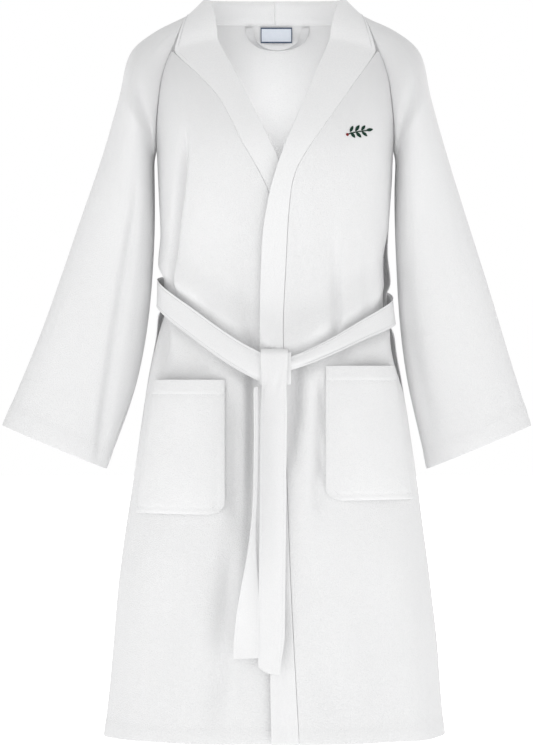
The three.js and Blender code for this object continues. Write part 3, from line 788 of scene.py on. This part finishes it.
def placeSleeve(which):
    side = 1 if which == "left" else -1
    folds = [(through(*f["path"]), f) for f in sleeveFolds[which]]
    half = Vector((math.cos(cuff["tilt"]), 0, math.sin(cuff["tilt"]))) * (cuff["width"] / 2)
    end = Vector((cuff["reach"], 0, -cuff["drop"]))
    top, bottom = catmull(ridgeLine, 1), raglanSeam(1, True)
    outer = [top,
             Vector((lerp(top.x, cuff["reach"] + half.x, 0.25) - 5, 0, lerp(top.z, half.z - cuff["drop"],
                                                                            0.25))),
             Vector((lerp(top.x, cuff["reach"] + half.x, 0.6) - 4, 0, lerp(top.z, half.z - cuff["drop"], 0.6))),
             end + half]
    inner = [Vector((bottom.x + cuff["underarm"], 0, bottom.z)),
             Vector((cuff["elbow"][0], 0, -cuff["elbow"][1])),
             Vector((cuff["forearm"][0], 0, -cuff["forearm"][1])), end - half]
    swing = cuff["swing"] * -side

    def place(u, w):
        turn = 2 * u - 1
        share = cuff["capShare"]
        if w <= share:
            v = w / share
            point = capPoint(v, turn * (1 - 0.0015), side)
            out = (point - Vector((side * 140, lerp(ridgeNeckY, ridgeArmY, v), -160 - 20 * v))).normalized()
            bend = ease(1 - abs(turn), 0.0, 0.22) * ease(v, 0, 0.2)
            s = 0.0
        else:
            s = (w - share) / (1 - share)
            outPoint, inPoint = catmull(outer, s), catmull(inner, s)
            centre, reach = (outPoint + inPoint) / 2, (outPoint - inPoint) / 2
            deep = lerp(shape["armReach"], cuff["depth"], ease(s, -0.3, 1.15))
            angle = math.pi * turn
            point = centre + reach * math.cos(angle)
            point.x = side * (point.x + swing * s ** 3)
            point.y = ridgeArmY + deep * math.sin(angle)
            width = reach.length
            out = Vector((side * reach.x, 0, reach.z)) / width * math.cos(angle) * deep
            out.y = math.sin(angle) * width
            out.normalize()
            bend = 1.0
        value = 0.0
        for line, f in folds:
            start, full, fading, stop = f["span"]
            t = (turn - line(s)) / f["width"]
            if f.get("lean") and t * f["lean"] > 0:
                t *= 2.2
            value += f["depth"] * math.exp(-t * t) * ease(s, start, full) * (1 - ease(s, fading, stop))
        girth = turn * 260
        value += 3.0 * noise.noise(Vector((girth / 80, w * 4.2, 31 + side)))
        value += 0.5 * noise.noise(Vector((girth / 12, w * 7, 41 + side)))
        value *= 1 - ease(s, 0.985, 1.0) * 0.4
        value += 3.0 * hump(turn - 0.86, 0.09) * ease(s, 0.02, 0.12) * (1 - ease(s, 0.42, 0.6))
        fromCuff = (1 - s) * cuff["length"]
        value += hemSwell(fromCuff - cuff["hem"] + hem["deep"]) if s > 0.5 else 0.0
        point += out * value * bend
        # the cloth folds in where the sleeve hangs down beside the body
        drop, across = -point.z, abs(point.x)
        t = (across - armhole["path"](drop)) / armhole["width"]
        if abs(t) < 3 and drop < 314:
            fold = armhole["depth"] * math.exp(-t * t) * ease(drop, 76, 204) * (1 - ease(drop, 234, 314))
            point.y += -math.copysign(fold * bend * ease(abs(point.y - ridgeArmY), 5, 45), point.y - ridgeArmY)
        return point
    return place


sleevePieces = {}
for which, side in (("left", 1), ("right", -1)):
    place = placeSleeve(which)
    bm = clothGrid(76, 118, place, (560, 800), seam=True)
    joint = [v for v in bm.verts if 0 < (v.co.x * side - 242) * 0.838 + (v.co.z + 124) * -0.545 + 14 < 34]
    for _ in range(5):
        bmesh.ops.smooth_vert(bm, verts=joint, factor=0.5, use_axis_x=True, use_axis_y=True, use_axis_z=True)
    name = "sleeveCloth" + which.title()
    sleeve = finishPiece(name, bm, finishes["pile_cloth"],
                         ["raglan_cap_" + which, "sleeve_" + which],
                         None, shape["cloth"], 1, (Vector((side * 380, -105, -400)), Vector((side, 0, 0.2))))
    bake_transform(sleeve)
    sleevePieces[which] = (sleeve, place)
print("sleeves sewn")


# Bands: from the hem up each front edge, over the shoulder and round to the centre back
collar = {"side": (-0.72, 0, 0.69), "frontShare": 0.76, "shoulderShare": 0.15}
neckEdge = angleAt(raglanSeam(0, False).x, 0, False)


def placeBand(which):
    side = 1 if which == "left" else -1
    sideWay = Vector((collar["side"][0] * side, 0, collar["side"][2])) * bandWidth
    backWay = Vector((0, -shape["collarLean"], shape["collarRise"]))
    cornerWay = backWay + Vector((-side * 12, 2, 0))

    def onFront(u, drop):
        lift = (neckDrop - edgeTopDrop) * ease(-drop, -crossDrop - 90, -neckDrop)
        return frontCloth(which, lerp(seamLine[which](drop), edgeLine[which](drop - lift), u),
                          drop - lift * u, hemSwell(robeLength - drop) * 0.6)
    frontSeam, frontEdge = onFront(0, neckDrop), onFront(1, neckDrop)
    frontWay = frontEdge - frontSeam
    shift = frontSeam - capPoint(0, -1, side)

    def place(u, v):
        u = lerp(shape["seamGap"] / bandWidth, 1, u)
        one, two = collar["frontShare"], collar["shoulderShare"]
        roll = -0.8 * hump(u * bandWidth - 3.6, 1.5)
        if v < one:
            return onFront(u, lerp(robeLength, neckDrop, v / one)) + Vector((0, -roll, 0))
        if v < one + two:
            turn = 2 * (v - one) / two - 1
            seam = capPoint(0, turn, side) + shift * (1 - ease(turn, -1, -0.4))
            way = frontWay.lerp(sideWay, 1 + turn) if turn < 0 else sideWay.lerp(cornerWay, turn)
            return seam + way * u
        share = 1 - (v - one - two) / (1 - one - two)
        seam = bodyPoint(side * neckEdge * share, 0)
        return seam + backWay.lerp(cornerWay, share ** 2) * u
    return place


bandPieces = {}
for which, side in (("left", 1), ("right", -1)):
    place = placeBand(which)
    bm = clothGrid(10, 220, place, (41, 1400))
    ring = [v for v in bm.verts if v.co.z > -70 and not v.is_boundary]
    for _ in range(2):
        bmesh.ops.smooth_vert(bm, verts=ring, factor=0.5, use_axis_x=True, use_axis_y=True, use_axis_z=True)
    band = finishPiece("frontBand" + which.title(), bm, finishes["band_cloth"],
                       ["front_band_" + which],
                       "robe", shape["doubleCloth"], 1, (Vector((0, -240, -760)), forward))
    bandPieces[which] = (band, place)
print("bands sewn")


# Patch pockets, open at the top, with a turned hem and a rounded inner corner
def placePocket(which):
    side = 1 if which == "left" else -1
    top, height, corner = pocket["top"][which], pocket["height"], pocket["corner"]
    width = 138.0

    def place(u, v):
        a, b = u * width, (1 - v) * height  # from the inner edge, from the bottom
        if a < corner and b < corner:
            p, q = (corner - a) / corner, (corner - b) / corner
            size = math.hypot(p, q)
            if size > 0:
                p, q = p * max(p, q) / size, q * max(p, q) / size
            a, b = corner - p * corner, corner - q * corner
        u, v = a / width, 1 - b / height
        drop = top + v * height
        start = angleAt(pocket["inside"], drop)
        angle = lerp(start, math.pi / 2 + pocket["side"], u)
        belly = pocket["belly"] * math.sin(math.pi * clamp(u)) ** 0.7 * math.cos(math.pi * clamp(v) / 2) ** 0.6
        inset = min(a, b, (1 - u) * width)
        groove = -1.1 * hump(inset - pocket["stitch"], 1.8)
        groove += 0.8 * (1 - ease(inset, pocket["stitch"] - 3, pocket["stitch"]))
        down = v * height
        groove += -1.0 * hump(down - pocket["hem"], 1.9) + 1.0 * (1 - ease(down, 20, 23))
        wave = 1.3 * noise.noise(Vector((a / 46, down / 62, 3 + side))) * ease(inset, 0, 25)
        return bodyPoint(side * angle, drop, pocket["gap"] + shape["cloth"] + belly * 0.92 + groove * 0.7 + wave)
    return place


pocketPieces = {}
for which, side in (("left", 1), ("right", -1)):
    place = placePocket(which)
    name = "pocketCloth" + which.title()
    patch = finishPiece(name, clothGrid(46, 66, place, (140, 203)), finishes["pile_cloth"],
                        ["pocket_" + which], "robe", shape["cloth"], 1,
                        (Vector((side * 130, -245, -640)), forward))
    margin = pocket["stitch"] / 138
    low = 1 - pocket["stitch"] / pocket["height"]
    hemLine = pocket["hem"] / pocket["height"]
    inner = straight((margin, 0.004), (margin, low - 0.04)) + straight((margin + 0.025, low), (1 - 0.02, low))
    thread = sewLines("pocketStitch" + which.title(), place,
                      [inner, straight((0.015, hemLine), (0.985, hemLine))],
                      (0.5, 0.5, forward), seamThread, "robe")
    pocketPieces[which] = patch
print("pockets sewn")


# Belt round the waist
beltEnd = {which: angleAt(belt["underKnot"], belt["front"][which]) for which in ("left", "right")}


def edgeRoll(u, width):
    inset = min(u, 1 - u) * width
    return -0.7 * hump(inset - 4.2, 1.3)


def placeBelt(u, t):
    angle = lerp(-beltEnd["right"], beltEnd["left"], t)
    which = "right" if angle < 0 else "left"
    centre, reach = beltLine[which](abs(angle)), beltReach[which](abs(angle))
    squeeze = ease(abs(angle), 2.75, math.pi)
    sway = 0.9 * noise.noise(Vector((angle * 2.4, u * 1.2, 17)))
    cup = 2.2 * squeeze * math.sin(math.pi * u)
    return bodyPoint(angle, centre + reach * (1 - 2 * u), belt["stand"] + shape["doubleCloth"] + sway + cup
                     + edgeRoll(u, reach * 2))


beltRound = finishPiece("beltRound", clothGrid(14, 190, placeBelt, (40, 1120)), finishes["band_cloth"],
                        ["belt_waist"], "robe", shape["doubleCloth"], 1, (Vector((0, 15, -405)), backward))
beltThread = sewLines("beltStitch", placeBelt,
                      [straight((e, 0.02), (e, 0.98), 240) for e in stitching["edges"]],
                      (0.5, 0.5, backward), seamThread, "robe")


# Knot and front tail: one run of belt that comes over the knot and hangs down
knot = {"wrap": (523, 571), "wrapHalf": 23.5, "wrapOut": 11.2, "wrapCloth": 2.8, "top": 517, "height": 57,
        "depth": 16, "radius": 9, "half": 25}
tail = {"length": 430, "rear": 406, "stand": 4, "centre": -4.5, "rearTop": -31, "rearEnd": -45, "width": 40}
tailTop = knot["top"] + knot["height"] + 0.5
arcLength = math.radians(110) * knot["radius"]
faceLength = knot["top"] + knot["height"] - (knot["top"] + knot["radius"])
frontRun = arcLength + faceLength + tail["length"]


def placeFrontTail(u, t):
    run = t * frontRun
    face = knot["depth"] + 0.5
    if run < arcLength:
        turn = math.radians(-20) + run / knot["radius"]
        drop = knot["top"] + knot["radius"] - knot["radius"] * math.cos(turn)
        outset = face - knot["radius"] + knot["radius"] * math.sin(turn)
    else:
        drop = knot["top"] + knot["radius"] + run - arcLength
        hang = clamp((drop - tailTop) / tail["length"])
        outset = lerp(face, tail["stand"] + shape["doubleCloth"] + (1 - hang) * 5, ease(drop, 549, 594))
    hang = clamp((drop - tailTop) / tail["length"])
    side = 2 * u - 1
    half = tail["width"] / 2 * (1 - 0.06 * hump(drop - 576, 22) + 0.03 * hump(drop - 529, 14))
    centre = lerp(-1.5, tail["centre"], ease(drop, 534, 714)) + 1.2 * math.sin(hang * 5.2)
    # the loose end is cut aslant and turned a little
    tip = ease(hang, 0.86, 1)
    end = (0.0 if side > -0.3 else (side + 0.3) * 14) * tip
    across = centre + side * half - tip * max(side, 0) * 7
    bow = -2.6 * side * side * hump(drop - 549, 34) + 1.2 * math.sin(3 * side + 0.6) * ease(hang, 0, 0.2)
    pinch = 1.6 * hump(side - 0.35 + (drop - 559) / 90, 0.22) * hump(drop - 566, 20)
    level = max(min(drop, robeLength), 0)
    y = middleY(level) - halfDepth(level) - (outset + bow - pinch + edgeRoll(u, tail["width"]))
    return Vector((across, y, -(drop + end + tip * max(side, 0) * 1.5)))


beltTailFront = finishPiece("beltTailFront", clothGrid(16, 130, placeFrontTail, (40, 520)),
                            finishes["band_cloth"],
                            ["belt_knot", "belt_tail_front"], None, shape["doubleCloth"], 1,
                            (Vector((0, -262, -760)), forward))
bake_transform(beltTailFront)


def placeKnotWrap(u, v):
    side = 2 * u - 1
    drop = lerp(*knot["wrap"], v)
    crease = 0.7 * math.sin(v * 9 + side)
    return bodyPoint(angleAt(knot["wrapHalf"] * side, drop), drop,
                     knot["wrapOut"] + crease * 0.3 - 1.4 * abs(side) ** 3)


knotWrap = finishPiece("knotWrap", clothGrid(14, 16, placeKnotWrap, (47, 48)), finishes["band_cloth"],
                       ["belt_knot"], "robe", knot["wrapCloth"], 1, (Vector((0, -252, -530)), forward))


def placeRearTail(u, t):
    drop = tailTop + t * tail["rear"]
    turn = lerp(1.45, 0.35, ease(t, 0.45, 1))
    across = Vector((math.cos(turn), math.sin(turn), 0))
    out = Vector((math.sin(turn), -math.cos(turn), 0))
    stand = tail["stand"] + tail["width"] / 2 * math.sin(turn) + shape["doubleCloth"] / 2
    x = lerp(tail["rearTop"], tail["rearEnd"], ease(t, 0.35, 1))
    middle = Vector((x, bodyPoint(math.pi, drop).y - stand, -drop))
    curl = 2.0 * math.sin(math.pi * u) * (1 - t)
    rise = shape["doubleCloth"] / 2 + curl + edgeRoll(u, 40) + 0.8 * math.sin(t * 9)
    return middle + across * ((u - 0.5) * tail["width"]) + out * rise


beltTailRear = finishPiece("beltTailRear", clothGrid(16, 104, placeRearTail, (40, 406)), finishes["band_cloth"],
                           ["belt_tail_rear"], "tail_rear", shape["doubleCloth"], 1,
                           (placeRearTail(0.5, 0.9), Vector((0.3, -1, 0))))
edgeLines = [straight((e, 0.01), (e, 0.985), 120) for e in stitching["edges"]]
rearThread = sewLines("tailStitchRear", placeRearTail, edgeLines, (0.5, 0.9, Vector((0.3, -1, 0))), seamThread,
                      "tail_rear")
frontThread = sewLines("tailStitchFront", placeFrontTail,
                       [straight((e, 0.14), (e, 0.975), 150) for e in stitching["edges"]],
                       (0.5, 0.6, forward), seamThread, "tail_front")
print("belt tied")


# Straps: a width of tape carried along stations of middle point, width way and facing way
def placeStrap(stations, width, thickness):
    last = len(stations) - 1

    def place(u, t):
        spot = t * last
        k = min(int(spot), last - 1)
        f = spot - k
        f = f if last > 8 else f * f * (3 - 2 * f)
        middle, across, out = (a.lerp(b, f) for a, b in zip(stations[k], stations[k + 1]))
        return middle + across.normalized() * ((u - 0.5) * width) + out.normalized() * (thickness / 2)
    return place


tapes = {"width": 12, "cloth": 2.0, "loopAngle": 1.12}
for which, side in (("left", 1), ("right", -1)):
    angle = side * tapes["loopAngle"]
    centre = beltLine[which](tapes["loopAngle"])
    facing = (bodyPoint(angle, centre, 1) - bodyPoint(angle, centre)).normalized()
    across = Vector((-facing.y, facing.x, 0))
    low, high = 2.0, belt["stand"] + shape["doubleCloth"] + 1.5
    foot = belt["width"] / 2 + 16
    stations = [(bodyPoint(angle, centre + along, outset + standOff(angle, centre + along) * share),
                 across, facing)
                for along, outset, share in ((-foot, low, 1), (-foot + 9, low, 1), (-foot + 13, high, 0),
                                             (foot - 13, high, 0), (foot - 9, low, 1), (foot, low, 1))]
    place = placeStrap(stations, tapes["width"], tapes["cloth"])
    loop = finishPiece("beltLoop" + which.title(), clothGrid(6, 40, place, (12, 84)), finishes["tape"],
                       ["belt_loop_" + which], "robe", tapes["cloth"], 1, (stations[2][0], facing))

hanger = {"half": 44.5, "deep": 38, "stand": 8, "middle": 4, "top": 5, "y": -5}
stations = []
for k in range(33):
    angle = math.pi * k / 32
    middle = Vector((hanger["middle"] - hanger["half"] * math.cos(angle),
                     hanger["y"] - hanger["stand"] * math.sin(angle),
                     -hanger["top"] - hanger["deep"] * math.sin(angle) ** 0.8))
    level = Vector((-math.cos(angle), 0, -math.sin(angle)))
    lay = math.sin(angle) * 1.35
    stations.append((middle, level * math.cos(lay) + forward * math.sin(lay),
                     forward * math.cos(lay) - level * math.sin(lay)))
place = placeStrap(stations, tapes["width"], tapes["cloth"])
hangLoop = finishPiece("hangingLoopTape", clothGrid(6, 70, place, (12, 130)), finishes["tape"],
                       ["hanging_loop"], "hanging_loop", tapes["cloth"], 1, (stations[3][0], stations[3][2]))

label = {"width": 50, "height": 25, "thick": 1.0, "top": 4, "middle": 2.5, "border": 2.0}


def placeLabel(u, v):
    bow = 0.25 * math.sin(math.pi * u) + 0.2 * math.sin(math.pi * v)
    return Vector((label["middle"] + (u - 0.5) * label["width"], hanger["y"] + label["thick"] / 2 - bow * 0.4,
                   -label["top"] - (1 - v) * label["height"]))


bm = clothGrid(40, 24, placeLabel, (50, 25))
for face in bm.faces:
    spot = face.calc_center_median()
    u = (spot.x - label["middle"]) / label["width"] + 0.5
    v = 1 - (-spot.z - label["top"]) / label["height"]
    edge = min(u * label["width"], (1 - u) * label["width"], v * label["height"], (1 - v) * label["height"])
    face.material_index = 1 if edge < label["border"] else 0
neckLabel = finishPiece("neckLabelCloth", bm, [finishes["label"], labelBorder], ["neck_label"],
                        "neck_label",
                        label["thick"], 0, (placeLabel(0.5, 0.5), forward))
print("neck trimmed")


# Leaf sprig sewn on the left chest: stem, leaves and one small berry in satin stitch
sprig = {"across": 128, "drop": 187, "rise": 0.9, "stem": ((-17, -4.5), (-8, -1.5), (2, 0.6), (11, 2.2)),
         "leaves": ((-10, -5.6, 10.5, 4.4, -52), (-12, 3.6, 10.5, 4.4, 64), (-1.5, -4.9, 11, 4.6, -46),
                    (-3.2, 5.2, 11, 4.6, 58), (7.5, -3.2, 10, 4.2, -38), (5.6, 6.0, 9.5, 4.2, 54),
                    (15.2, 3.6, 10.5, 4.6, 14)), "berry": (-18.4, -5.2, 2.0)}


def onChest(x, z, rise):
    drop = sprig["drop"] - z
    return frontCloth("left", sprig["across"] + x, drop, rise)


sprigMesh = bmesh.new()
sprigMap = sprigMesh.loops.layers.uv.new("clothMap")


def addDome(cells, spotOf, materialIndex):
    before = set(sprigMesh.faces)
    made = bmesh.ops.create_grid(sprigMesh, x_segments=cells[0], y_segments=cells[1], size=1.0)
    for face in set(sprigMesh.faces) - before:
        face.material_index = materialIndex
        for loop in face.loops:
            loop[sprigMap].uv = (loop.vert.co.x * 5 * toMetres, loop.vert.co.y * 2.2 * toMetres)
    for vert in made["verts"]:
        vert.co = spotOf(vert.co.x, vert.co.y)


def addLeaf(cx, cy, length, width, degrees):
    turn = math.radians(degrees)

    def spot(a, b):
        half = width / 2 * max(math.cos(a * math.pi / 2), 0.03) ** 0.8
        x, z = a * length / 2, b * half
        dome = sprig["rise"] * max(1 - b * b, 0) ** 0.5 * (0.35 + 0.65 * math.cos(a * math.pi / 2))
        dome -= 0.35 * hump(b, 0.12) * (1 - abs(a))
        return onChest(cx + x * math.cos(turn) - z * math.sin(turn),
                       cy + x * math.sin(turn) + z * math.cos(turn),
                       0.25 + dome)
    addDome((16, 10), spot, 0)


for leaf in sprig["leaves"]:
    addLeaf(*leaf)
stemX = through(*((k / 3, x) for k, (x, z) in enumerate(sprig["stem"])))
stemZ = through(*((k / 3, z) for k, (x, z) in enumerate(sprig["stem"])))
addDome((40, 4), lambda a, b: onChest(stemX((a + 1) / 2), stemZ((a + 1) / 2) + b * 0.7,
                                      0.25 + 0.6 * max(1 - b * b, 0) ** 0.5), 0)
bx, bz, br = sprig["berry"]


def berrySpot(a, b):
    size = max(abs(a), abs(b)) / (math.hypot(a, b) or 1)
    x, z = a * size, b * size
    return onChest(bx + x * br, bz + z * br, 0.25 + 1.0 * max(1 - x * x - z * z, 0) ** 0.5)


addDome((10, 10), berrySpot, 1)
chestSprig = finishPiece("chestSprig", sprigMesh, [finishes["emblem_thread"], redThread],
                         ["chest_emblem"], "robe")
solid = chestSprig.modifiers.new("threadDepth", "SOLIDIFY")
solid.thickness = 0.3 * toMetres
solid.offset = 1.0
print("sprig sewn")


# Seam and hem stitching
def dropToV(drop, bottom, top):
    return (bottom - drop) / (bottom - top)


for which, side in (("left", 1), ("right", -1)):
    place = placeFront(which)
    v = dropToV(robeLength - hem["deep"], robeLength, neckDrop + shape["seamGap"])
    raglan = [(0.985, dropToV(d, robeLength, neckDrop)) for d in range(64, 206, 4)]
    sewLines("frontStitch" + which.title(), place, [straight((0.01, v), (0.99, v), 80), raglan],
             (0.5, 0.5, forward), seamThread, "robe")
    place = bandPieces[which][1]
    sewLines("bandStitch" + which.title(), place, [straight((0.085, 0.02), (0.085, 0.99), 400)],
             (0.5, 0.3, forward), seamThread, "robe")
    place = sleevePieces[which][1]
    w = 1 - (1 - cuff["capShare"]) * cuff["hem"] / cuff["length"]
    sewLines("cuffStitch" + which.title(), place, [straight((0.0, w), (1.0, w), 120)],
             (0.5, 0.7, Vector((side, 0, 0.2))), seamThread, "sleeve_" + which)
v = dropToV(robeLength - hem["deep"], robeLength, shape["seamGap"])
sewLines("backStitch", placeBack, [straight((0.01, v), (0.99, v), 160)], (0.5, 0.5, backward), seamThread,
         "robe")
print("stitching done")
